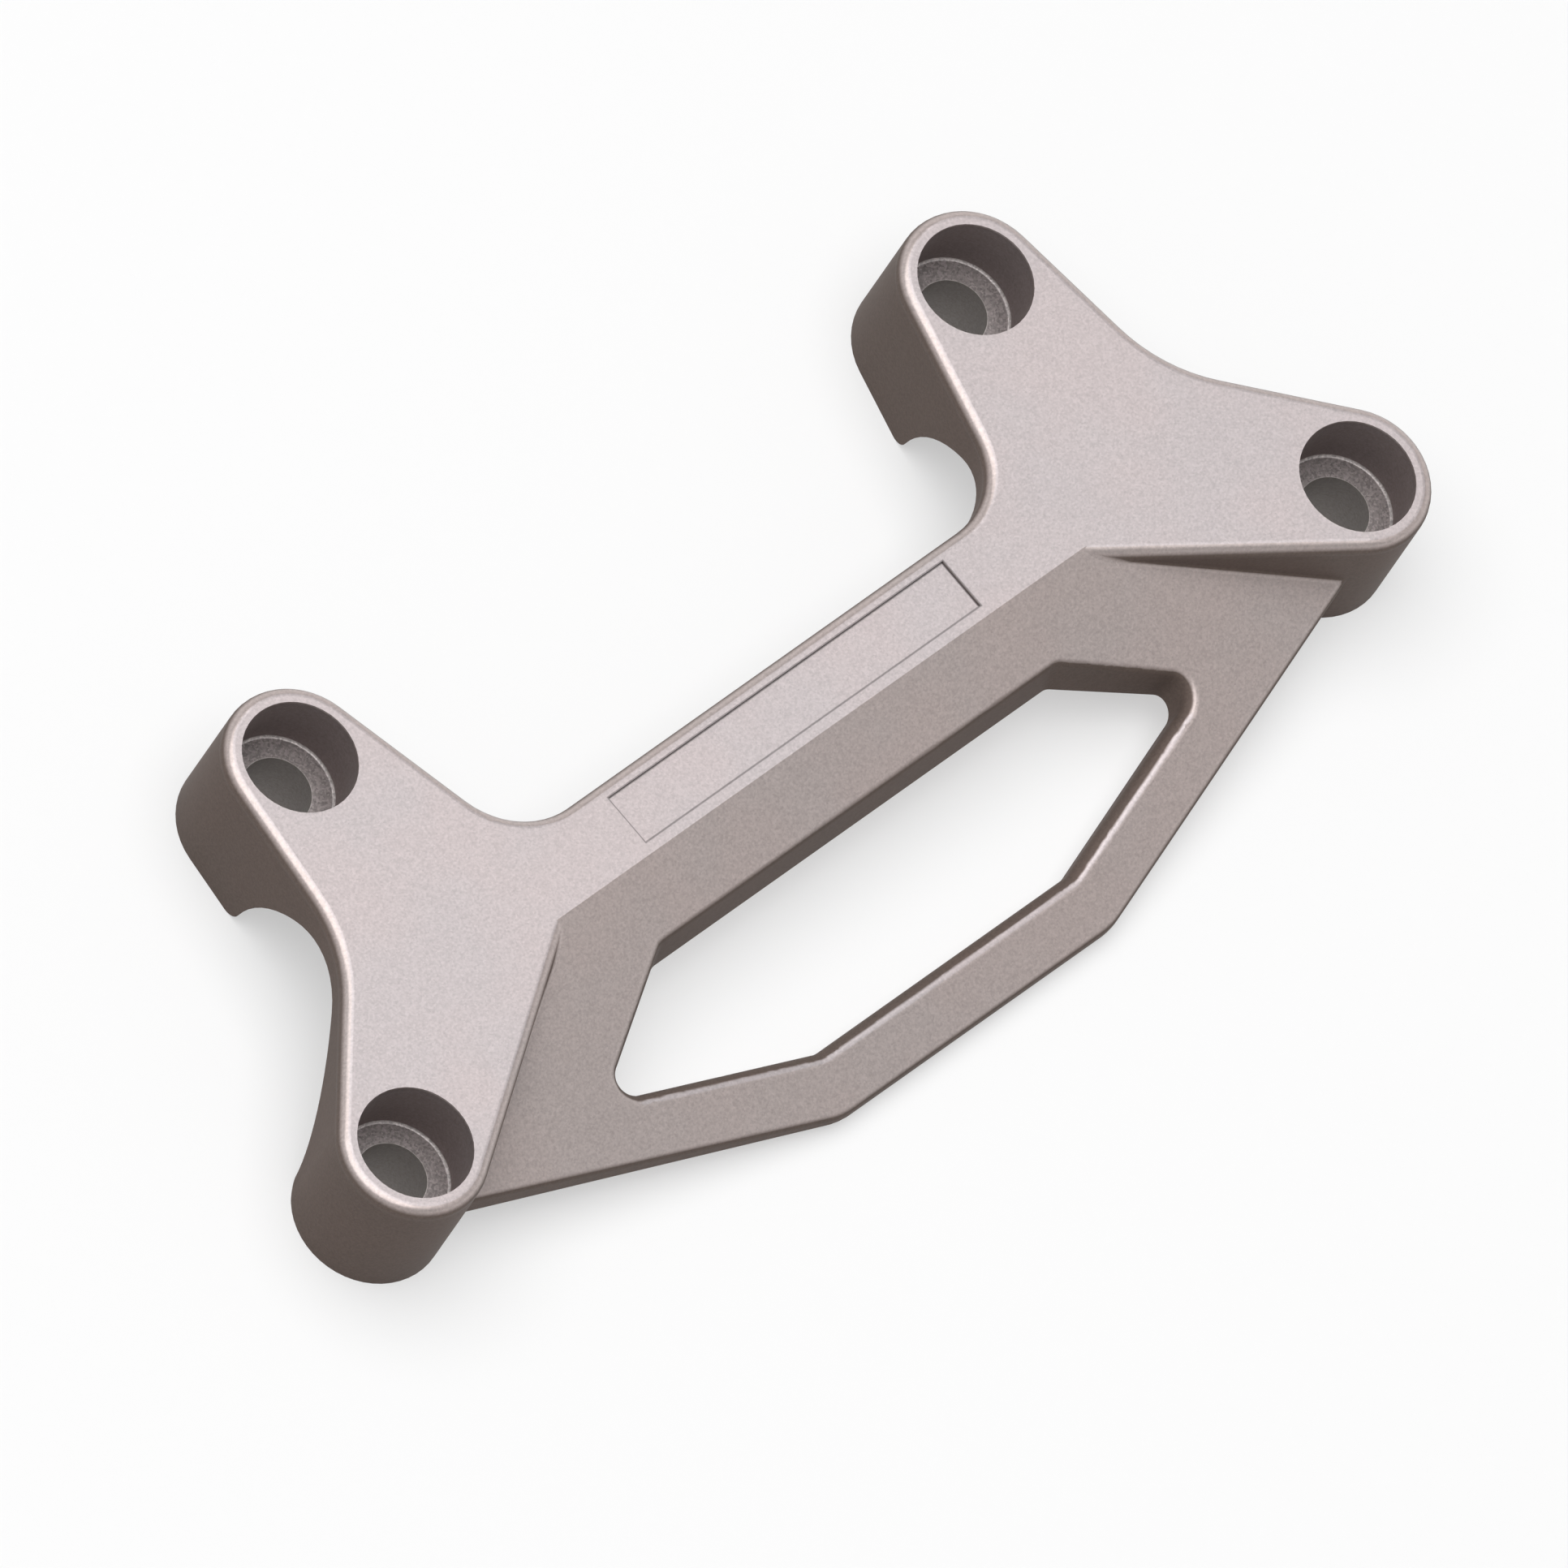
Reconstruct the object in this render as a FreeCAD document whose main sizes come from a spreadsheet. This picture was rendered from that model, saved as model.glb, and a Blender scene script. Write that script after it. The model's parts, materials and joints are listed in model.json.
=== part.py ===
import FreeCAD, Part
import math
import os
import Sketcher

# Upper half of a four-bolt handlebar clamp, cast as one piece.
# Frame: origin on the handlebar's axis at mid-span, in the plane where the clamp meets its lower half.
# +X runs along the bar, +Y points forward, +Z up. Millimetres and degrees.

doc = FreeCAD.newDocument("clamp")
sizes = doc.addObject("Spreadsheet::Sheet", "sizes")

driving_dimensions = [
    ("clamp_height", 18.0, "mating plane to top face"),
    ("bar_radius", 14.3, "saddle radius for a 28.6 mm bar"),
    ("bridge_clearance", 0.7, "gap between the bar and the underside of the bridge"),
    ("relief_half_length", 34.0, "mid-plane to the end of the bridge's clearance"),
    ("bolt_row_spacing", 44.0, "forward bolt row to rider-side bolt row"),
    ("forward_bolt_spacing", 109.0, "between the two forward bolts"),
    ("rider_bolt_spacing", 152.0, "between the two rider-side bolts"),
    ("bolt_hole_radius", 4.25, "clearance for an M8 screw"),
    ("counterbore_radius", 7.0, "room for an M8 socket head"),
    ("counterbore_depth", 9.0, "top face to the screw head's seat"),
    ("seat_corner_radius", 0.3, "hollow round the edge of the screw head's seat"),
    ("boss_radius", 9.15, "round ends of the pads"),
    ("outer_flank_angle", 6.84, "lean of the pad's outer side at the forward bolt"),
    ("lower_flank_angle", 43.83, "lean of the pad's outer side at the rider-side bolt"),
    ("waist_radius", 20.0, "hollow between the two outer sides"),
    ("inner_flank_angle", 14.8, "lean of the pad's inner side"),
    ("bridge_blend_radius", 10.0, "hollow between the inner side and the bridge"),
    ("front_angle", 32.1, "lean of the pad's wall that faces the rider"),
    ("bridge_setback", 0.4, "bar axis to the bridge's forward wall"),
    ("bridge_width", 10.03, "bridge's forward wall to the crease"),
    ("web_angle", 23.0, "slope of the web's upper face"),
    ("underside_angle", 18.1, "slope of the web's lower face"),
    ("rim_reach", 45.35, "bar axis to the web's rim"),
    ("rim_height", 2.8, "height of the rim's wall"),
    ("rim_half_width", 21.8, "mid-plane to the rim's corner"),
    ("rim_angle", 17.85, "lean of the rim's two swept sides"),
    ("rim_corner_radius", 10.0, "rounding of the rim's corners in plan"),
    ("window_near", 18.25, "bar axis to the window's near side, at the top face's level"),
    ("window_far", 39.75, "bar axis to the window's far side, at the top face's level"),
    ("window_side", 29.4, "bar axis to the window's side corners"),
    ("window_near_half", 32.1, "mid-plane to the window's near corners"),
    ("window_side_half", 51.2, "mid-plane to the window's side corners"),
    ("window_far_half", 20.6, "mid-plane to the window's far corners"),
    ("window_draft", 8.0, "draft of the window's walls"),
    ("window_corner_radius", 2.0, "rounding of the window's corners"),
    ("panel_half_length", 27.0, "mid-plane to the end of the recessed panel"),
    ("panel_width", 6.7, "recessed panel across the bridge"),
    ("panel_margin", 1.9, "bridge's forward wall to the recessed panel"),
    ("panel_depth", 0.4, "depth of the recessed panel"),
    ("edge_radius", 1.4, "rounding of the top edges"),
    ("rim_edge_radius", 1.2, "rounding of the rim's upper edge"),
    ("window_edge_radius", 1.5, "rounding of the window's upper edge"),
    ("rim_lower_radius", 1.0, "rounding of the rim's lower edge"),
    ("wall_foot_radius", 0.8, "hollow where the pads' walls meet the web"),
    ("saddle_lip_radius", 1.9, "rounding of the saddle's edges at the mating plane"),
]
for row, (alias, value, note) in enumerate(driving_dimensions, start=1):
    sizes.set(f"A{row}", alias)
    sizes.set(f"B{row}", str(value))
    sizes.setAlias(f"B{row}", alias)
    sizes.set(f"C{row}", note)
doc.recompute()


def size(alias):
    return float(getattr(sizes, alias))


near = 0.01  # tolerance for finding faces and edges by their place


def new_body(name):
    return doc.addObject("PartDesign::Body", name)


def new_sketch(body, name, plane_role):
    sketch = body.newObject("Sketcher::SketchObject", name)
    plane = next(item for item in body.Origin.OriginFeatures if item.Role == plane_role)
    sketch.AttachmentSupport = [(plane, "")]
    sketch.MapMode = "FlatFace"
    return sketch


def dimension(sketch, expression, *constraint):
    index = sketch.addConstraint(Sketcher.Constraint(*constraint))
    sketch.setExpression(f"Constraints[{index}]", expression)


def relate(sketch, *constraint):
    sketch.addConstraint(Sketcher.Constraint(*constraint))


def at_angle(degrees):
    return FreeCAD.Vector(math.cos(math.radians(degrees)), math.sin(math.radians(degrees)), 0)


def crossing(point_a, heading_a, point_b, heading_b):
    # Where two lines of the plan meet.
    gap = point_b - point_a
    turn = heading_a.x * heading_b.y - heading_a.y * heading_b.x
    return point_a + heading_a * ((gap.x * heading_b.y - gap.y * heading_b.x) / turn)


def line(start, end):
    return Part.LineSegment(start, end)


def arc(center, radius, start_degrees, end_degrees):
    circle = Part.Circle(center, FreeCAD.Vector(0, 0, 1), radius)
    return Part.ArcOfCircle(circle, math.radians(start_degrees), math.radians(end_degrees))


def edges_where(feature, test):
    return [f"Edge{number}" for number, edge in enumerate(feature.Shape.Edges, start=1) if test(edge)]


def round_edges(body, name, expression, test):
    doc.recompute()
    base = body.Tip
    fillet = body.newObject("PartDesign::Fillet", name)
    fillet.Base = (base, edges_where(base, test))
    fillet.setExpression("Radius", expression)
    doc.recompute()
    return fillet


def lies_at_height(edge, height):
    box = edge.BoundBox
    return abs(box.ZMin - height) < near and abs(box.ZMax - height) < near


# Right pad: two bosses joined by a waisted outer side, an inner side that sweeps into the bridge,
# and a straight wall that faces the rider.
pad = new_body("pad")
outline = new_sketch(pad, "pad_outline", "XY_Plane")

boss_radius = size("boss_radius")
forward_bolt = FreeCAD.Vector(size("forward_bolt_spacing") / 2, size("bolt_row_spacing") / 2, 0)
rider_bolt = FreeCAD.Vector(size("rider_bolt_spacing") / 2, -size("bolt_row_spacing") / 2, 0)
outer_normal = size("outer_flank_angle")
lower_normal = size("lower_flank_angle")
inner_normal = 180 - size("inner_flank_angle")
front_normal = -90 - size("front_angle")

lower_start = rider_bolt + at_angle(lower_normal) * boss_radius
outer_end = forward_bolt + at_angle(outer_normal) * boss_radius
inner_start = forward_bolt + at_angle(inner_normal) * boss_radius
front_end = rider_bolt + at_angle(front_normal) * boss_radius
lower_heading = at_angle(lower_normal + 90)
outer_heading = at_angle(outer_normal + 90)
inner_heading = at_angle(inner_normal + 90)
front_heading = at_angle(front_normal + 90)

waist = crossing(lower_start, lower_heading, outer_end, outer_heading)
waist_radius = size("waist_radius")
waist_run = waist_radius * math.tan(math.radians((lower_normal - outer_normal) / 2))
lower_end = waist - lower_heading * waist_run
outer_start = waist + outer_heading * waist_run
waist_center = lower_end + at_angle(lower_normal) * waist_radius

bridge_heading = FreeCAD.Vector(-1, 0, 0)
bridge_point = FreeCAD.Vector(0, -size("bridge_setback"), 0)
blend_radius = size("bridge_blend_radius")
blend = crossing(inner_start, inner_heading, bridge_point, bridge_heading)
blend_run = blend_radius * math.tan(math.radians((inner_normal - 90) / 2))
inner_end = blend - inner_heading * blend_run
bridge_start = blend + bridge_heading * blend_run
blend_center = bridge_start + FreeCAD.Vector(0, blend_radius, 0)

# Inside the bridge the pad runs on to the mid-plane, narrower than the bridge itself.
inside_share = 0.75
inside_reach = size("bridge_setback") + inside_share * size("bridge_width")
inside_start = FreeCAD.Vector(0, -inside_reach, 0)
front_start = crossing(inside_start, bridge_heading, front_end, front_heading)

outline.addGeometry([
    arc(rider_bolt, boss_radius, front_normal, lower_normal),
    line(lower_start, lower_end),
    arc(waist_center, waist_radius, outer_normal + 180, lower_normal + 180),
    line(outer_start, outer_end),
    arc(forward_bolt, boss_radius, outer_normal, inner_normal),
    line(inner_start, inner_end),
    arc(blend_center, blend_radius, -90, inner_normal - 180),
    line(bridge_start, bridge_point),
    line(bridge_point, inside_start),
    line(inside_start, front_start),
    line(front_start, front_end),
], False)
(rider_boss, lower_flank, waist_arc, outer_flank, forward_boss, inner_flank,
 blend_arc, bridge_edge, root_edge, inside_edge, front_wall) = range(outline.GeometryCount)
start, end, center = range(1, 4)
level_axis, upright_axis = range(-1, -3, -1)
origin = (level_axis, start)
for first, first_end, second, second_end in [
    (rider_boss, end, lower_flank, start),
    (lower_flank, end, waist_arc, end),
    (waist_arc, start, outer_flank, start),
    (outer_flank, end, forward_boss, start),
    (forward_boss, end, inner_flank, start),
    (inner_flank, end, blend_arc, end),
    (blend_arc, start, bridge_edge, start),
    (front_wall, end, rider_boss, start),
]:
    relate(outline, "Tangent", first, first_end, second, second_end)
relate(outline, "Coincident", bridge_edge, end, root_edge, start)
relate(outline, "Coincident", root_edge, end, inside_edge, start)
relate(outline, "Coincident", inside_edge, end, front_wall, start)
relate(outline, "Horizontal", bridge_edge)
relate(outline, "Horizontal", inside_edge)
relate(outline, "PointOnObject", root_edge, start, upright_axis)
relate(outline, "PointOnObject", root_edge, end, upright_axis)
dimension(outline, "sizes.boss_radius", "Radius", rider_boss, boss_radius)
dimension(outline, "sizes.boss_radius", "Radius", forward_boss, boss_radius)
dimension(outline, "sizes.waist_radius", "Radius", waist_arc, waist_radius)
dimension(outline, "sizes.bridge_blend_radius", "Radius", blend_arc, blend_radius)
dimension(outline, "sizes.rider_bolt_spacing / 2",
          "DistanceX", *origin, rider_boss, center, rider_bolt.x)
dimension(outline, "sizes.bolt_row_spacing / 2",
          "DistanceY", rider_boss, center, *origin, -rider_bolt.y)
dimension(outline, "sizes.forward_bolt_spacing / 2",
          "DistanceX", *origin, forward_boss, center, forward_bolt.x)
dimension(outline, "sizes.bolt_row_spacing / 2",
          "DistanceY", *origin, forward_boss, center, forward_bolt.y)
dimension(outline, "90 + sizes.lower_flank_angle", "Angle", lower_flank, math.radians(lower_normal + 90))
dimension(outline, "90 + sizes.outer_flank_angle", "Angle", outer_flank, math.radians(outer_normal + 90))
dimension(outline, "-90 - sizes.inner_flank_angle", "Angle", inner_flank, math.radians(inner_normal - 270))
dimension(outline, "-sizes.front_angle", "Angle", front_wall, math.radians(front_normal + 90))
dimension(outline, "sizes.bridge_setback", "DistanceY", bridge_edge, start, *origin, -bridge_point.y)
dimension(outline, f"sizes.bridge_setback + {inside_share} * sizes.bridge_width",
          "DistanceY", root_edge, end, *origin, inside_reach)

pad_block = pad.newObject("PartDesign::Pad", "pad_block")
pad_block.Profile = outline
pad_block.setExpression("Length", "sizes.clamp_height")


def on_pad_top(edge):
    on_mid_plane = edge.BoundBox.XMax < near
    return lies_at_height(edge, size("clamp_height")) and not on_mid_plane


round_edges(pad, "pad_top_edges", "sizes.edge_radius", on_pad_top)

# Bridge and web: one plate, flat across the bridge and then sloping down to the rim on the rider's side.
web = new_body("web")
plate_outline = new_sketch(web, "plate_outline", "XY_Plane")

crease_reach = size("bridge_setback") + size("bridge_width")
rim_reach = size("rim_reach")
rim_corner = FreeCAD.Vector(size("rim_half_width"), -rim_reach, 0)
swept_heading = at_angle(size("rim_angle"))
swept_end = crossing(rim_corner, swept_heading, rider_bolt, FreeCAD.Vector(0, 1, 0))
corner_radius = size("rim_corner_radius")
corner_run = corner_radius * math.tan(math.radians(size("rim_angle") / 2))
swept_start = rim_corner + swept_heading * corner_run
rim_end = rim_corner - FreeCAD.Vector(corner_run, 0, 0)
corner_center = rim_end + FreeCAD.Vector(0, corner_radius, 0)
shoulder = FreeCAD.Vector(forward_bolt.x, bridge_point.y, 0)


def mirrored(point):
    return FreeCAD.Vector(-point.x, point.y, point.z)


plate_outline.addGeometry([
    line(shoulder, mirrored(shoulder)),
    line(mirrored(shoulder), mirrored(rider_bolt)),
    line(mirrored(rider_bolt), mirrored(swept_end)),
    line(mirrored(swept_end), mirrored(swept_start)),
    arc(mirrored(corner_center), corner_radius, 270 - size("rim_angle"), 270),
    line(mirrored(rim_end), rim_end),
    arc(corner_center, corner_radius, 270, 270 + size("rim_angle")),
    line(swept_start, swept_end),
    line(swept_end, rider_bolt),
    line(rider_bolt, shoulder),
], False)
(forward_edge, left_shoulder, left_side, left_swept, left_corner, rim_edge,
 right_corner, right_swept, right_side, right_shoulder) = range(plate_outline.GeometryCount)
for first in (forward_edge, left_shoulder, left_side, right_swept, right_side):
    relate(plate_outline, "Coincident", first, end, first + 1, start)
relate(plate_outline, "Coincident", right_shoulder, end, forward_edge, start)
for first in (left_swept, left_corner, rim_edge, right_corner):
    relate(plate_outline, "Tangent", first, end, first + 1, start)
relate(plate_outline, "Symmetric", forward_edge, start, forward_edge, end, upright_axis)
relate(plate_outline, "Symmetric", right_side, end, left_side, start, upright_axis)
relate(plate_outline, "Symmetric", right_side, start, left_side, end, upright_axis)
relate(plate_outline, "Symmetric", rim_edge, start, rim_edge, end, upright_axis)
relate(plate_outline, "Vertical", right_side)
relate(plate_outline, "Equal", left_corner, right_corner)
dimension(plate_outline, "sizes.forward_bolt_spacing / 2",
          "DistanceX", *origin, forward_edge, start, shoulder.x)
dimension(plate_outline, "sizes.bridge_setback", "DistanceY", forward_edge, start, *origin, -shoulder.y)
dimension(plate_outline, "sizes.rider_bolt_spacing / 2",
          "DistanceX", *origin, right_side, end, rider_bolt.x)
dimension(plate_outline, "sizes.bolt_row_spacing / 2",
          "DistanceY", right_side, end, *origin, -rider_bolt.y)
dimension(plate_outline, "sizes.rim_reach", "DistanceY", rim_edge, end, *origin, rim_reach)
dimension(plate_outline, "sizes.rim_angle", "Angle", right_swept, math.radians(size("rim_angle")))
dimension(plate_outline, "sizes.rim_corner_radius", "Radius", right_corner, corner_radius)
dimension(plate_outline, "sizes.rim_half_width - sizes.rim_corner_radius * tan(sizes.rim_angle / 2 * 1deg)",
          "DistanceX", *origin, rim_edge, end, rim_end.x)

plate = web.newObject("PartDesign::Pad", "plate")
plate.Profile = plate_outline
plate.Midplane = True
plate.setExpression("Length", "2 * sizes.clamp_height")


def closed_chain(sketch, points):
    # Straight sides through the points, in order, joined end to end.
    corners = points + points[:1]
    sketch.addGeometry([line(first, second) for first, second in zip(corners, corners[1:])], False)
    for side in range(len(points)):
        relate(sketch, "Coincident", side, end, (side + 1) % len(points), start)


def section_cut(body, name, sketch):
    # Takes the sketched section away along the whole length of the bar.
    pocket = body.newObject("PartDesign::Pocket", name)
    pocket.Profile = sketch
    pocket.Type = "ThroughAll"
    pocket.Midplane = True


# Upper slope, from the crease at the bridge down past the rim.
# A section's X is the part's Y, and its Y is the part's Z.
cut_margin = 5.0  # how far the cutting sections reach past the plate
clamp_height = size("clamp_height")
upper_fall = math.tan(math.radians(size("web_angle")))
cut_reach = rim_reach + cut_margin
cut_top = clamp_height + cut_margin
upper_slope = new_sketch(web, "upper_slope", "YZ_Plane")
closed_chain(upper_slope, [
    FreeCAD.Vector(-crease_reach, clamp_height, 0),
    FreeCAD.Vector(-cut_reach, clamp_height - upper_fall * (cut_reach - crease_reach), 0),
    FreeCAD.Vector(-cut_reach, cut_top, 0),
    FreeCAD.Vector(-crease_reach, cut_top, 0),
])
slope_side, far_side, top_side, near_side = range(upper_slope.GeometryCount)
relate(upper_slope, "Vertical", far_side)
relate(upper_slope, "Vertical", near_side)
relate(upper_slope, "Horizontal", top_side)
dimension(upper_slope, "sizes.bridge_setback + sizes.bridge_width",
          "DistanceX", slope_side, start, *origin, crease_reach)
dimension(upper_slope, "sizes.clamp_height", "DistanceY", *origin, slope_side, start, clamp_height)
dimension(upper_slope, "sizes.web_angle - 180", "Angle", slope_side, math.radians(size("web_angle") - 180))
dimension(upper_slope, f"sizes.rim_reach + {cut_margin}", "DistanceX", top_side, start, *origin, cut_reach)
dimension(upper_slope, f"sizes.clamp_height + {cut_margin}", "DistanceY", *origin, top_side, start, cut_top)
section_cut(web, "upper_slope_cut", upper_slope)

# Lower face, a shallower slope from the rim's lower edge up under the bridge.
rim_top = clamp_height - upper_fall * (rim_reach - crease_reach)
rim_low = rim_top - size("rim_height")
under_rise = math.tan(math.radians(size("underside_angle")))
lower_slope = new_sketch(web, "lower_slope", "YZ_Plane")
closed_chain(lower_slope, [
    FreeCAD.Vector(-rim_reach, rim_low, 0),
    FreeCAD.Vector(cut_margin, rim_low + under_rise * (rim_reach + cut_margin), 0),
    FreeCAD.Vector(cut_margin, -cut_top, 0),
    FreeCAD.Vector(-cut_reach, -cut_top, 0),
    FreeCAD.Vector(-cut_reach, rim_low, 0),
])
under_side, forward_side, bottom_side, rider_side, rim_side = range(lower_slope.GeometryCount)
relate(lower_slope, "Vertical", forward_side)
relate(lower_slope, "Vertical", rider_side)
relate(lower_slope, "Horizontal", bottom_side)
relate(lower_slope, "Horizontal", rim_side)
dimension(lower_slope, "sizes.rim_reach", "DistanceX", under_side, start, *origin, rim_reach)
dimension(lower_slope, "sizes.clamp_height - sizes.rim_height - tan(sizes.web_angle * 1deg)"
          " * (sizes.rim_reach - sizes.bridge_setback - sizes.bridge_width)",
          "DistanceY", *origin, under_side, start, rim_low)
dimension(lower_slope, "sizes.underside_angle", "Angle", under_side, math.radians(size("underside_angle")))
dimension(lower_slope, f"{cut_margin}", "DistanceX", *origin, forward_side, start, cut_margin)
dimension(lower_slope, f"sizes.clamp_height + {cut_margin}",
          "DistanceY", bottom_side, start, *origin, cut_top)
dimension(lower_slope, f"sizes.rim_reach + {cut_margin}", "DistanceX", bottom_side, end, *origin, cut_reach)
section_cut(web, "lower_slope_cut", lower_slope)

# Window: a hexagon drawn at the top face's level, its walls drawing in towards the underside.
window = new_sketch(web, "window_outline", "XY_Plane")
window.setExpression("AttachmentOffset.Base.z", "sizes.clamp_height")
window_near = FreeCAD.Vector(size("window_near_half"), -size("window_near"), 0)
window_side = FreeCAD.Vector(size("window_side_half"), -size("window_side"), 0)
window_far = FreeCAD.Vector(size("window_far_half"), -size("window_far"), 0)
right_corners = [window_near, window_side, window_far]
closed_chain(window, right_corners + [mirrored(corner) for corner in reversed(right_corners)])
for side, (reach, half) in enumerate([
    ("sizes.window_near", "sizes.window_near_half"),
    ("sizes.window_side", "sizes.window_side_half"),
    ("sizes.window_far", "sizes.window_far_half"),
]):
    relate(window, "Symmetric", side, start, len(right_corners) * 2 - 1 - side, start, upright_axis)
    dimension(window, reach, "DistanceY", side, start, *origin, -right_corners[side].y)
    dimension(window, half, "DistanceX", *origin, side, start, right_corners[side].x)
window_cut = web.newObject("PartDesign::Pocket", "window_cut")
window_cut.Profile = window
window_cut.setExpression("Length", f"2 * sizes.clamp_height + {cut_margin}")
window_cut.setExpression("TaperAngle", "-sizes.window_draft")


def is_upright(edge):
    box = edge.BoundBox
    return box.ZLength > 2 * max(box.XLength, box.YLength)


def is_in_window(edge):
    box = edge.BoundBox
    beside = max(-box.XMin, box.XMax) < size("window_side_half")
    between = -size("window_far") < box.YMin and box.YMax < -size("window_near")
    return beside and between


def is_window_corner(edge):
    return is_upright(edge) and is_in_window(edge)


def height_over_slope(point):
    return point.z - clamp_height + upper_fall * (-point.y - crease_reach)


def lies_on_slope(edge):
    return all(abs(height_over_slope(vertex.Point)) < near for vertex in edge.Vertexes)


def is_window_edge(edge):
    return lies_on_slope(edge) and is_in_window(edge)


def lies_on_rim(edge):
    # Along the rim's far wall or its two swept walls, corners included.
    for vertex in edge.Vertexes:
        from_corner = FreeCAD.Vector(abs(vertex.X), vertex.Y, 0) - rim_corner
        on_far_wall = abs(from_corner.y) < near
        on_swept_wall = abs(from_corner.dot(at_angle(size("rim_angle") - 90))) < near
        if not (on_far_wall or on_swept_wall):
            return False
    return True


def is_rim_edge(edge):
    return lies_on_slope(edge) and lies_on_rim(edge)


def is_bridge_edge(edge):
    box = edge.BoundBox
    return lies_at_height(edge, clamp_height) and box.YMin > bridge_point.y - near


def lies_underneath(edge):
    heights = [vertex.Z - rim_low - under_rise * (rim_reach + vertex.Y) for vertex in edge.Vertexes]
    return all(abs(height) < near for height in heights)


def is_lower_rim_edge(edge):
    return lies_underneath(edge) and lies_on_rim(edge)


round_edges(web, "window_corners", "sizes.window_corner_radius", is_window_corner)
round_edges(web, "window_edge", "sizes.window_edge_radius", is_window_edge)
round_edges(web, "bridge_forward_edge", "sizes.edge_radius", is_bridge_edge)

# The raw casting: both pads and the plate as one solid.
left_pad = doc.addObject("Part::Mirroring", "left_pad")
left_pad.Source = pad
left_pad.Normal = (1, 0, 0)
casting = doc.addObject("Part::MultiFuse", "casting")
casting.Shapes = [pad, left_pad, web]
casting.Refine = True


def bar_cylinder(name, radius, half_length):
    # A cylinder on the bar's axis, centred on the mid-plane.
    cylinder = doc.addObject("Part::Cylinder", name)
    cylinder.setExpression("Radius", radius)
    cylinder.setExpression("Height", f"2 * ({half_length})")
    cylinder.Placement = FreeCAD.Placement(FreeCAD.Vector(), FreeCAD.Rotation(FreeCAD.Vector(0, 1, 0), 90))
    cylinder.setExpression("Placement.Base.x", "-Height / 2")
    return cylinder


def bolt_cylinder(name, radius, spacing, row, floor):
    # A cylinder on a bolt's axis, from a floor height up through the top face.
    cylinder = doc.addObject("Part::Cylinder", name)
    cylinder.setExpression("Radius", radius)
    cylinder.setExpression("Height", f"sizes.clamp_height + {cut_margin} - ({floor})")
    cylinder.setExpression("Placement.Base.x", f"{spacing} / 2")
    cylinder.setExpression("Placement.Base.y", f"{row} / 2")
    cylinder.setExpression("Placement.Base.z", floor)
    return cylinder


# Machining: the bar's saddle, the bridge's clearance over it, and the four counterbored bolt holes.
outermost = f"sizes.rider_bolt_spacing / 2 + sizes.boss_radius + {cut_margin}"
cutters = [
    bar_cylinder("saddle_bore", "sizes.bar_radius", outermost),
    bar_cylinder("bridge_relief", "sizes.bar_radius + sizes.bridge_clearance", "sizes.relief_half_length"),
]
for row_name, row_spacing, row_sign in [
    ("forward", "sizes.forward_bolt_spacing", 1),
    ("rider", "sizes.rider_bolt_spacing", -1),
]:
    for side_name, side_sign in [("left", -1), ("right", 1)]:
        spacing = f"{side_sign} * {row_spacing}"
        row = f"{row_sign} * sizes.bolt_row_spacing"
        name = f"{row_name}_{side_name}"
        cutters += [
            bolt_cylinder(f"{name}_hole", "sizes.bolt_hole_radius", spacing, row, f"-{cut_margin}"),
            bolt_cylinder(f"{name}_counterbore", "sizes.counterbore_radius", spacing, row,
                          "sizes.clamp_height - sizes.counterbore_depth"),
        ]

# Shallow panel along the bridge.
panel = doc.addObject("Part::Box", "panel_recess")
panel.setExpression("Length", "2 * sizes.panel_half_length")
panel.setExpression("Width", "sizes.panel_width")
panel.setExpression("Height", f"sizes.panel_depth + {cut_margin}")
panel.setExpression("Placement.Base.x", "-sizes.panel_half_length")
panel.setExpression("Placement.Base.y", "-sizes.bridge_setback - sizes.panel_margin - sizes.panel_width")
panel.setExpression("Placement.Base.z", "sizes.clamp_height - sizes.panel_depth")
cutters.append(panel)

machining = doc.addObject("Part::MultiFuse", "machining")
machining.Shapes = cutters
machined = doc.addObject("Part::Cut", "machined")
machined.Base = casting
machined.Tool = machining
machined.Refine = True
doc.recompute()

clamp = new_body("handlebar_clamp")
clamp.BaseFeature = machined
doc.recompute()


def is_wall_foot(edge):
    # Where a pad's rider-side wall, or the boss at its end, meets the slope.
    if not lies_on_slope(edge):
        return False
    for vertex in edge.Vertexes:
        point = FreeCAD.Vector(abs(vertex.X), vertex.Y, 0) - rider_bolt
        on_boss = abs(point.Length - boss_radius) < near
        on_wall = abs(point.dot(at_angle(front_normal)) - boss_radius) < near
        if not (on_boss or on_wall):
            return False
    return True


def is_saddle_lip(edge):
    box = edge.BoundBox
    return lies_at_height(edge, 0) and abs(abs(box.Center.y) - size("bar_radius")) < near


def is_seat_corner(edge):
    on_seat = lies_at_height(edge, clamp_height - size("counterbore_depth"))
    return on_seat and abs(edge.BoundBox.XLength - 2 * size("counterbore_radius")) < near


round_edges(clamp, "seat_corners", "sizes.seat_corner_radius", is_seat_corner)
round_edges(clamp, "saddle_lips", "sizes.saddle_lip_radius", is_saddle_lip)
round_edges(clamp, "wall_feet", "sizes.wall_foot_radius", is_wall_foot)
round_edges(clamp, "rim_edge", "sizes.rim_edge_radius", is_rim_edge)
round_edges(clamp, "rim_lower_edge", "sizes.rim_lower_radius", is_lower_rim_edge)

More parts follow.
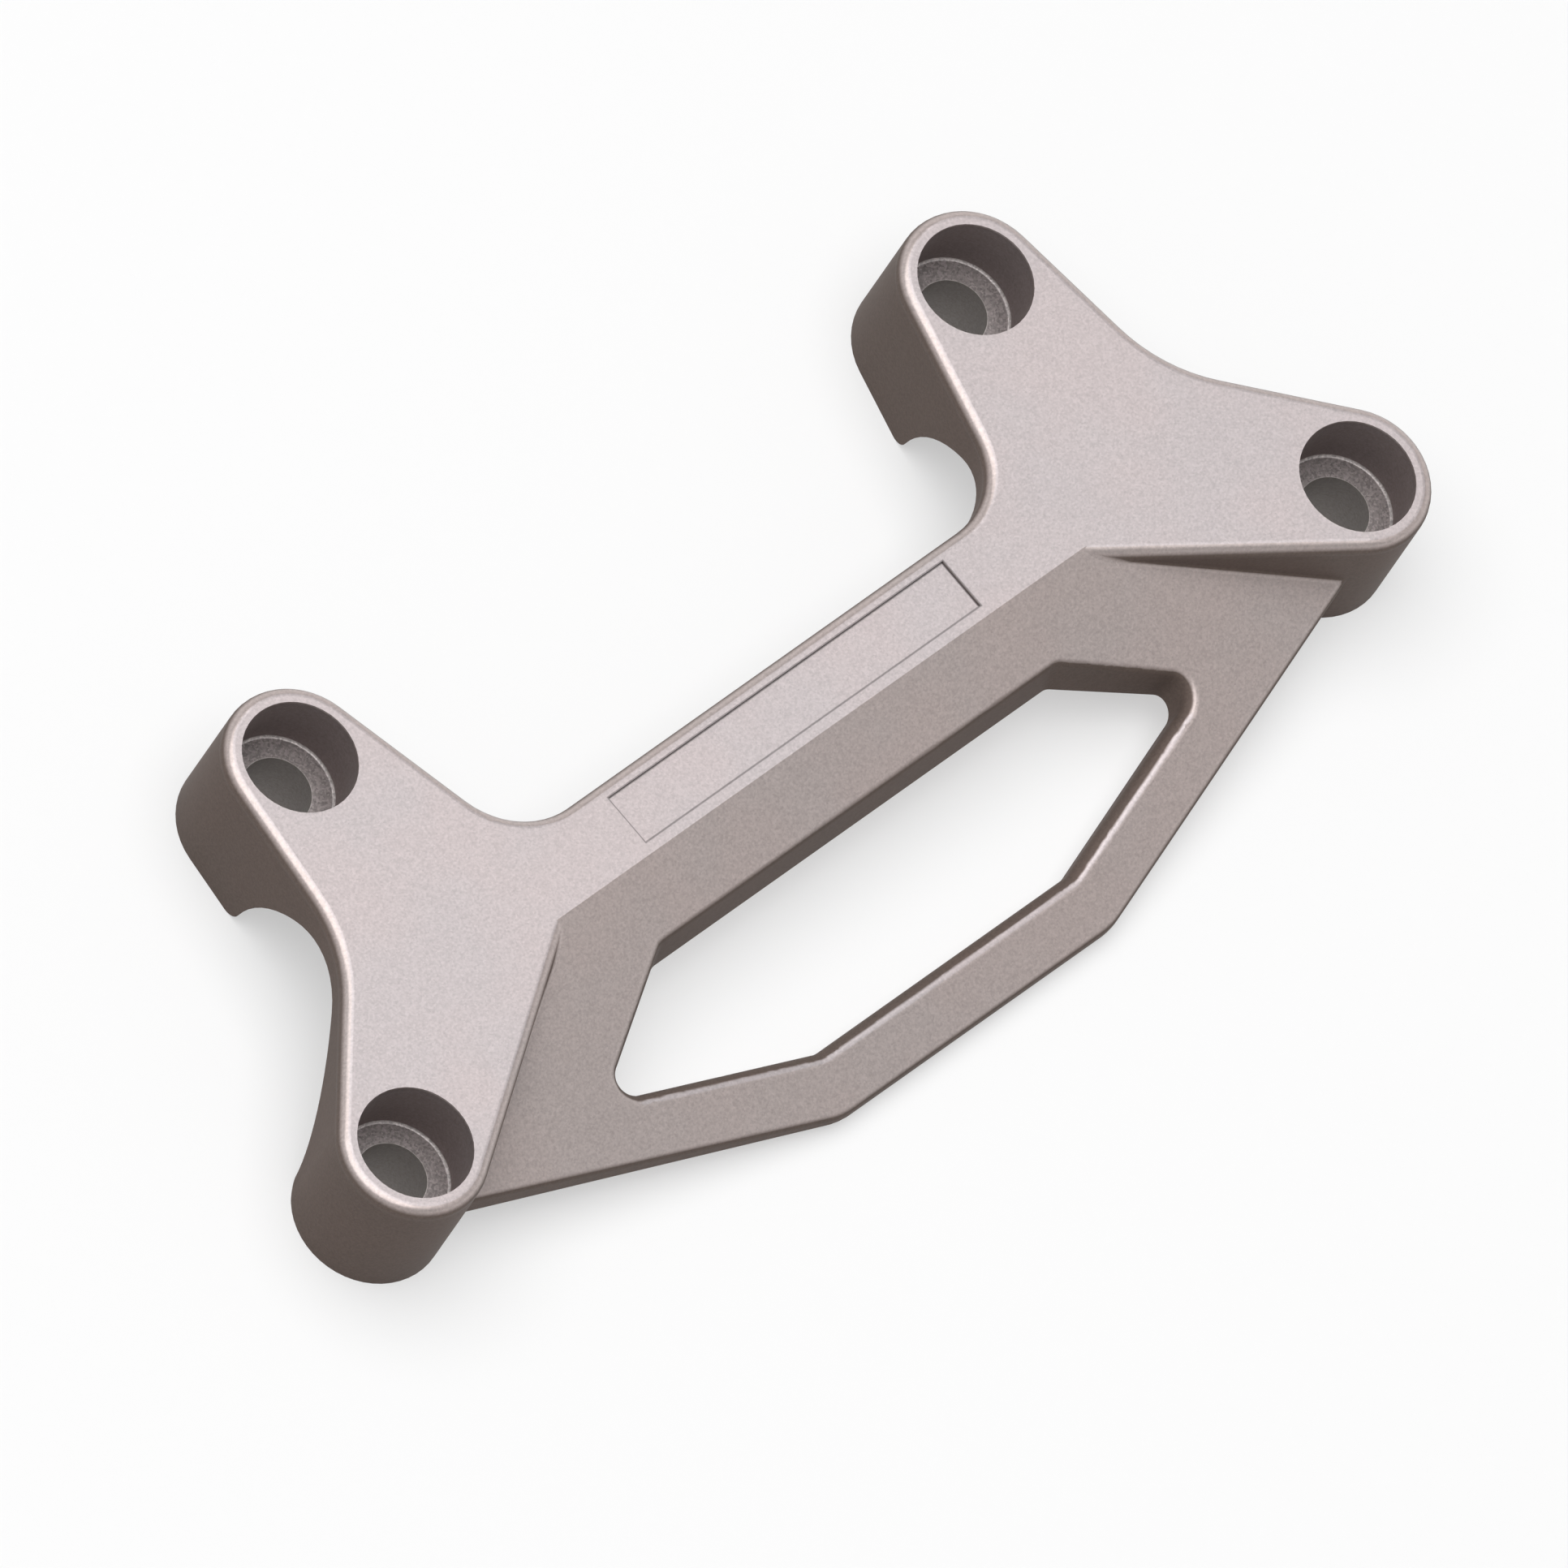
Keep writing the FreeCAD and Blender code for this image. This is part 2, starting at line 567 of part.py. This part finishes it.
unfinished = [item.Name for item in doc.Objects if "Invalid" in item.State or "Error" in item.State]
if unfinished:
    raise RuntimeError("not built: " + ", ".join(unfinished))
for shaped in (pad, left_pad, web, casting, machined, clamp):
    if shaped.Shape.isNull() or not shaped.Shape.isValid() or len(shaped.Shape.Solids) != 1:
        raise RuntimeError(f"{shaped.Label} is not one valid solid")

os.makedirs("parts", exist_ok=True)
clamp.Shape.exportStep(f"parts/{clamp.Label}.step")
box = clamp.Shape.optimalBoundingBox()
print(f"{clamp.Label}: {box.XLength:.2f} x {box.YLength:.2f} x {box.ZLength:.2f} mm")
print(f"volume {clamp.Shape.Volume:.0f} mm3")
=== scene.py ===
import json
import math
import bpy
from mathutils import Matrix, Vector


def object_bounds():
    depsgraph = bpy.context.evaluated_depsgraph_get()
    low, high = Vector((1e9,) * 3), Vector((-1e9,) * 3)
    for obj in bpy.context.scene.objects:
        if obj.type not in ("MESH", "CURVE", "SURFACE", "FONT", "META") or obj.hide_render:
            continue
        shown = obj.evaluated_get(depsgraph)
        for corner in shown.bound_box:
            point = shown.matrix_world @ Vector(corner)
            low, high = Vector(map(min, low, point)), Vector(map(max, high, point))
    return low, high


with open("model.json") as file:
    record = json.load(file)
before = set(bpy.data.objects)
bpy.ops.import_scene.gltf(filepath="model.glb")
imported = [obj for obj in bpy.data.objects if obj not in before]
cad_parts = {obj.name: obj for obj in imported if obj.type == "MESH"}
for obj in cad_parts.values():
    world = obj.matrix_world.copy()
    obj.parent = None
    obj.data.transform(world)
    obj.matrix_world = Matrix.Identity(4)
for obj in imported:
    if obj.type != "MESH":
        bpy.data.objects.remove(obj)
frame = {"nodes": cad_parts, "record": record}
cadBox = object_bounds()
clamp = frame["nodes"]["handlebar_clamp"]
mounts = {mount["name"]: mount for mount in frame["record"]["mounts"]}
print("frame loaded:", ", ".join(frame["nodes"]))

mm = 0.001  # one millimetre in scene units


class Wire:  # a shader socket that Python's operators can work on
    def __init__(self, recipe, socket):
        self.recipe = recipe
        self.socket = socket

    def math(self, operation, *values):
        return self.recipe.make("ShaderNodeMath", {"operation": operation}, dict(enumerate(values)))

    def __add__(self, other):
        return self.math("ADD", self, other)

    def __sub__(self, other):
        return self.math("SUBTRACT", self, other)

    def __rsub__(self, other):
        return self.math("SUBTRACT", other, self)

    def __mul__(self, other):
        return self.math("MULTIPLY", self, other)

    __radd__ = __add__
    __rmul__ = __mul__

    def least(self, other):
        return self.math("MINIMUM", self, other)

    def most(self, other):
        return self.math("MAXIMUM", self, other)

    def size(self):
        return self.math("ABSOLUTE", self)

    def sine(self):
        return self.math("SINE", self)

    def root(self):
        return self.math("SQRT", self)

    def fade(self, out, full):  # 0 at out, 1 at full, smooth between
        settings = {"interpolation_type": "SMOOTHSTEP"}
        return self.recipe.make("ShaderNodeMapRange", settings, {0: self, 1: out, 2: full})


class Recipe:  # one material's node tree
    def __init__(self, name):
        self.material = bpy.data.materials.new(name)
        self.material.use_nodes = True
        self.tree = self.material.node_tree
        self.tree.nodes.clear()

    def make(self, kind, settings, inputs, output=0):
        node = self.tree.nodes.new(kind)
        for key, value in settings.items():
            setattr(node, key, value)
        for key, value in inputs.items():
            if isinstance(value, Wire):
                self.tree.links.new(value.socket, node.inputs[key])
            else:
                node.inputs[key].default_value = value
        return Wire(self, node.outputs[output]) if len(node.outputs) else None

    def blend(self, way, factor, first, second):  # two colours, on the Mix node's colour sockets
        settings = {"data_type": "RGBA", "blend_type": way}
        return self.make("ShaderNodeMix", settings, {0: factor, 6: first, 7: second}, 2)

    def mix(self, factor, first, second):
        return self.blend("MIX", factor, first, second)

    def scaled(self, vector, factor):  # a place or a colour times a number
        return self.make("ShaderNodeVectorMath", {"operation": "SCALE"}, {0: vector, "Scale": factor})

    def along(self, vector, direction):  # how much of a vector lies along a direction
        settings = {"operation": "DOT_PRODUCT"}
        return self.make("ShaderNodeVectorMath", settings, {0: vector, 1: direction}, "Value")

    def part(self, vector, axis):
        return self.make("ShaderNodeSeparateXYZ", {}, {0: vector}, axis)

    def noise(self, vector, perMm, detail, roughness):
        return self.make("ShaderNodeTexNoise", {}, {
            "Vector": vector, "Scale": perMm, "Detail": detail, "Roughness": roughness})

    def cells(self, vector, perMm):  # one random value for each small cell
        colour = self.make("ShaderNodeTexVoronoi", {}, {"Vector": vector, "Scale": perMm}, "Color")
        return self.make("ShaderNodeSeparateColor", {}, {0: colour})

    def bump(self, height, distance, strength, normal=None):
        inputs = {"Height": height, "Distance": distance, "Strength": strength}
        if normal is not None:
            inputs["Normal"] = normal
        return self.make("ShaderNodeBump", {}, inputs)


# The blasted casting, with its machined saddles and screw seats
# Places are in mm, and a rise is the upward share of the way that the surface faces
# A pair says where a finish is out and where it is full
# A noise is given per mm, with its detail and roughness, and a bump by its height and strength
castLook = {
    "warmGrey": (0.500, 0.440, 0.440, 1),
    "coolGrey": (0.485, 0.437, 0.440, 1),
    "cloudNoise": (0.06, 2.0, 0.5),  # the slow drift between the two greys
    "cloudShare": (0.35, 0.65),
    "slopeShade": (0.920, 0.885, 0.845, 1),  # painted shade: all that leans is a touch darker and warmer
    "slopeRise": (0.985, 0.965),
    "wallShade": (0.268, 0.232, 0.206, 1),  # painted shade on the steep walls, the web's turned edges and the saddle
    "wallRise": (0.88, 0.40),
    "wallHeight": (17.8, 17.6),  # the painted shade ends under the top edges
    "skinRoughness": 0.28,  # added where the shade is painted
    "webFacing": (0, -0.391, 0.921),  # square to the sloped web; what turns from it gets the painted shade
    "webTurn": (0.92, 0.78),
    "webHeight": (15.9, 15.6),
    "webPlace": (-15.0, -16.0),  # along Y
    "webFromBolt": (8.0, 9.0),
    "cutMargin": (0.10, 0.02),  # a round cut's finish goes this far past its radius
    "boreShade": (0.62, 0.60, 0.61, 1),  # painted shade on the counterbores' turned walls
    "boreRadius": 7.0,
    "seatMetal": (0.215, 0.188, 0.184, 1),
    "seatBand": (0.40, 0.10),  # above or below the seat
    "seatDulling": 0.6,  # the share of the metallic look that a seat lacks
    "ringMetal": (0.470, 0.430, 0.420, 1),  # painted highlight: the bright ring where a seat meets its wall
    "ringRadius": (6.67, 6.76),
    "ringBand": (0.40, 0.25),
    "holeMetal": (0.310, 0.285, 0.270, 1),
    "bridgeRelief": 0.70,  # how far the bridge's underside clears the bar
    "footHeight": (0.06, 0.02),
    "toolMarkPitch": 0.35,  # the turned marks on the seats and in the saddle
    "toolMarkBump": (0.004 * mm, 0.6),
    "panelMiddle": -5.65,  # the recessed panel's place on the bridge
    "panelHalfLength": 27.0,
    "panelHalfWidth": 3.35,
    "panelHeight": (17.3, 17.4),
    "panelLine": (0.20, 0.10),  # painted shade: the dark line in the panel's corner
    "panelLineDepth": 0.50,
    "edgeRise": (0.99, 0.96),  # the rounded top edges
    "edgeTurn": (0.99, 0.97),
    "edgeHeight": (16.2, 16.6),
    "edgeRub": 0.85,  # the share of the grain that is rubbed off them
    "edgePolish": 0.11,  # taken off their roughness
    "metallic": 0.50,
    "roughness": 0.42,
    "grainNoise": (2.6, 3.0, 0.6),  # the blasted grain
    "grainTone": 0.40,
    "grainRoughness": 0.18,
    "grainBump": (0.010 * mm, 0.8),
    "peelNoise": (0.40, 2.0, 0.5),  # the casting's slow waviness
    "peelBump": (0.020 * mm, 0.5),
    "flakesPerMm": 4.2,  # the sparkle of single grains
    "flakeTone": 0.16,
    "seatFlakeTone": 0.50,
}


def blastedCasting():
    look = castLook
    recipe = Recipe("blasted_casting")
    place = recipe.scaled(recipe.make("ShaderNodeTexCoord", {}, {}, "Object"), 1 / mm)
    x, y, z = [recipe.part(place, axis) for axis in "XYZ"]
    facing = recipe.make("ShaderNodeTexCoord", {}, {}, "Normal")
    rise = recipe.part(facing, "Z")
    alongSlope = recipe.along(facing, look["webFacing"]).size()

    def within(distance, radius):  # inside a round cut
        out, full = look["cutMargin"]
        return distance.fade(radius + out, radius + full)

    # Bolt holes, screw seats, bar saddle and feet by their place
    fromRow = []
    for name in ("forward_bolts", "rider_bolts"):
        row = mounts[name]
        across = x.size() - row["dims"]["spacing_x_mm"] / 2
        forward = y - row["pos_m"][1] / mm
        fromRow.append((across * across + forward * forward).root())
    fromBolt = fromRow[0].least(fromRow[1])
    fromSeat = (z - mounts["forward_bolts"]["pos_m"][2] / mm).size()
    fromBar = (y * y + z * z).root()
    inHole = within(fromBolt, mounts["forward_bolts"]["dims"]["hole_r_mm"])
    inBore = within(fromBolt, look["boreRadius"])
    onSeat = inBore * (1 - inHole) * fromSeat.fade(*look["seatBand"])
    # painted highlight ring where a seat meets its wall
    onRingHighlight = inBore * fromBolt.fade(*look["ringRadius"]) * fromSeat.fade(*look["ringBand"])
    inSaddle = within(fromBar, mounts["handlebar_saddle"]["dims"]["r_mm"] + look["bridgeRelief"])
    onFoot = z.fade(*look["footHeight"])

    # The painted shade on walls, saddle and counterbores, the rubbed edges and the panel's painted shade
    # line
    onWeb = z.fade(*look["webHeight"]) * y.fade(*look["webPlace"]) * fromBolt.fade(*look["webFromBolt"])
    steep = rise.size().fade(*look["wallRise"]).most(onWeb * alongSlope.fade(*look["webTurn"]))
    # painted shade mask: the steep walls, the web's turned edges and the saddle
    paintedShadeMask = (steep * z.fade(*look["wallHeight"])).most(inSaddle)
    onEdge = rise.fade(*look["edgeRise"]) * alongSlope.fade(*look["edgeTurn"]) * z.fade(*look["edgeHeight"])
    besideEnds = x.size() - look["panelHalfLength"]
    besideSides = (y - look["panelMiddle"]).size() - look["panelHalfWidth"]
    fromPanel = besideEnds.most(besideSides).size()
    # painted shade line along the corner of the panel's recess
    panelLine = fromPanel.fade(*look["panelLine"]) * z.fade(*look["panelHeight"])

    # Noises, with grain and flake swinging about 0
    cloud = recipe.noise(place, *look["cloudNoise"])
    peel = recipe.noise(place, *look["peelNoise"])
    grain = recipe.noise(place, *look["grainNoise"]) - 0.5
    flake = recipe.cells(place, look["flakesPerMm"]) - 0.5
    blasted = grain * (1 - onEdge * look["edgeRub"])

    # Colour
    tone = recipe.mix(cloud.fade(*look["cloudShare"]), look["coolGrey"], look["warmGrey"])
    # Painted shade: every face that leans from level is made a touch darker and warmer
    tone = recipe.blend("MULTIPLY", rise.fade(*look["slopeRise"]), tone, look["slopeShade"])
    # Painted shade: walls, web edges and saddle darkened strongly, the counterbore walls less
    shade = recipe.mix(inBore, look["wallShade"], look["boreShade"])
    tone = recipe.blend("MULTIPLY", paintedShadeMask, tone, shade)
    tone = recipe.mix(onSeat.most(onFoot), tone, look["seatMetal"])
    # Painted highlight on the ring at each seat's corner
    tone = recipe.mix(onRingHighlight, tone, look["ringMetal"])
    tone = recipe.mix(inHole, tone, look["holeMetal"])
    speckle = 1 + flake * (look["flakeTone"] + onSeat * look["seatFlakeTone"]) + grain * look["grainTone"]
    # Speckle, and the painted shade line in the panel's corner
    tone = recipe.scaled(tone, speckle * (1 - panelLine * look["panelLineDepth"]))

    # Shine
    metal = look["metallic"] * (1 - onSeat * look["seatDulling"])
    shine = look["roughness"] + blasted * look["grainRoughness"] + paintedShadeMask * look["skinRoughness"]
    shine = shine - onEdge * look["edgePolish"]

    # Relief
    turns = 2 * math.pi / look["toolMarkPitch"]
    toolMarks = (fromBolt * turns).sine() * onSeat + (x * turns).sine() * inSaddle
    normal = recipe.bump(toolMarks, *look["toolMarkBump"])
    normal = recipe.bump(peel, *look["peelBump"], normal)
    normal = recipe.bump(blasted, *look["grainBump"], normal)

    shader = recipe.make("ShaderNodeBsdfPrincipled", {}, {
        "Base Color": tone, "Metallic": metal, "Roughness": shine, "Normal": normal})
    recipe.make("ShaderNodeOutputMaterial", {}, {"Surface": shader})
    return recipe.material


clamp.data.materials[0] = blastedCasting()
print("casting finished:", len(clamp.data.polygons), "faces")

# The pale floor, and a pale screen that stands round it and reaches below it
# Lengths are in m, and the glow is the share of plain white that the eye and the metal see
floorLook = {
    "reach": 8.0,
    "colour": (0.80, 0.80, 0.80, 1),
    "glow": 0.5,
}
screenLook = {
    "radius": 3.9,
    "bottom": -1.6,
    "top": 2.4,
    "sides": 96,
    "colour": (0.40, 0.40, 0.40, 1),
    "glow": 1.0,
}


def palePaint(name, look):
    recipe = Recipe(name)
    paint = recipe.make("ShaderNodeBsdfDiffuse", {}, {"Color": look["colour"]})
    white = recipe.make("ShaderNodeEmission", {}, {"Color": (1, 1, 1, 1), "Strength": 1.0})
    rays = ("Is Camera Ray", "Is Glossy Ray", "Is Transmission Ray")
    camera, glossy, through = [recipe.make("ShaderNodeLightPath", {}, {}, ray) for ray in rays]
    share = camera.most(glossy).most(through) * look["glow"]
    surface = recipe.make("ShaderNodeMixShader", {}, {0: share, 1: paint, 2: white})
    recipe.make("ShaderNodeOutputMaterial", {}, {"Surface": surface})
    return recipe.material


def paleFloor():
    bpy.ops.object.select_all(action="DESELECT")
    bpy.ops.mesh.primitive_plane_add(size=floorLook["reach"], location=(0, 0, cadBox[0].z))
    floor = bpy.context.object
    floor.name = "floor"
    floor.data.materials.append(palePaint("pale_floor", floorLook))


def paleScreen():
    bottom, top = screenLook["bottom"], screenLook["top"]
    bpy.ops.object.select_all(action="DESELECT")
    bpy.ops.mesh.primitive_cylinder_add(
        vertices=screenLook["sides"], radius=screenLook["radius"], depth=top - bottom,
        end_fill_type="NOTHING", location=(0, 0, (bottom + top) / 2))
    screen = bpy.context.object
    screen.name = "screen"
    screen.data.materials.append(palePaint("pale_screen", screenLook))


paleFloor()
paleScreen()
print("floor laid at", round(cadBox[0].z, 5), "with the screen round it")

# Soft studio light: one wide lamp nearly overhead, and the room
keyLamp = {
    "toward": (-0.12, 0.17, 0.97),  # from the clamp to the lamp
    "distance": 3.0,  # m
    "width": 4.0,
    "watts": 126.0,
}
roomLight = {
    "colour": (1, 1, 1, 1),
    "strength": 0.24,
}


def hangLamp():
    toward = Vector(keyLamp["toward"]).normalized()
    bpy.ops.object.light_add(type="AREA", location=toward * keyLamp["distance"])
    lamp = bpy.context.object
    lamp.name = "key_lamp"
    lamp.rotation_euler = toward.to_track_quat("Z", "Y").to_euler()
    lamp.data.shape = "DISK"
    lamp.data.size = keyLamp["width"]
    lamp.data.energy = keyLamp["watts"]


def lightRoom():
    world = bpy.data.worlds.new("studio")
    bpy.context.scene.world = world
    world.use_nodes = True
    background = world.node_tree.nodes["Background"]
    background.inputs["Color"].default_value = roomLight["colour"]
    background.inputs["Strength"].default_value = roomLight["strength"]


hangLamp()
lightRoom()
print("lamp hung and room lit")

# Camera: a view with parallel lines, turned so that the bridge runs up to the right
shot = {
    "toward": (-0.50697, -0.15341, 0.84820),  # from the clamp to the camera
    "up": (0.49767, 0.75135, 0.43335),  # the picture's upright
    "aim": (-5.061, -11.807, 12.840),  # mm, the middle of the picture
    "width": 178.065,  # mm across the picture
    "distance": 1600.0,  # mm
}


def setCamera():
    back = Vector(shot["toward"]).normalized()
    right = Vector(shot["up"]).cross(back).normalized()
    up = back.cross(right)
    stand = Vector(shot["aim"]) * mm + back * shot["distance"] * mm
    camera = bpy.data.objects.new("camera", bpy.data.cameras.new("camera"))
    bpy.context.scene.collection.objects.link(camera)
    camera.data.type = "ORTHO"
    camera.data.ortho_scale = shot["width"] * mm
    camera.matrix_world = Matrix.Translation(stand) @ Matrix((right, up, back)).transposed().to_4x4()
    bpy.context.scene.camera = camera


setCamera()
bpy.context.scene.view_settings.view_transform = "Standard"
print("camera set")
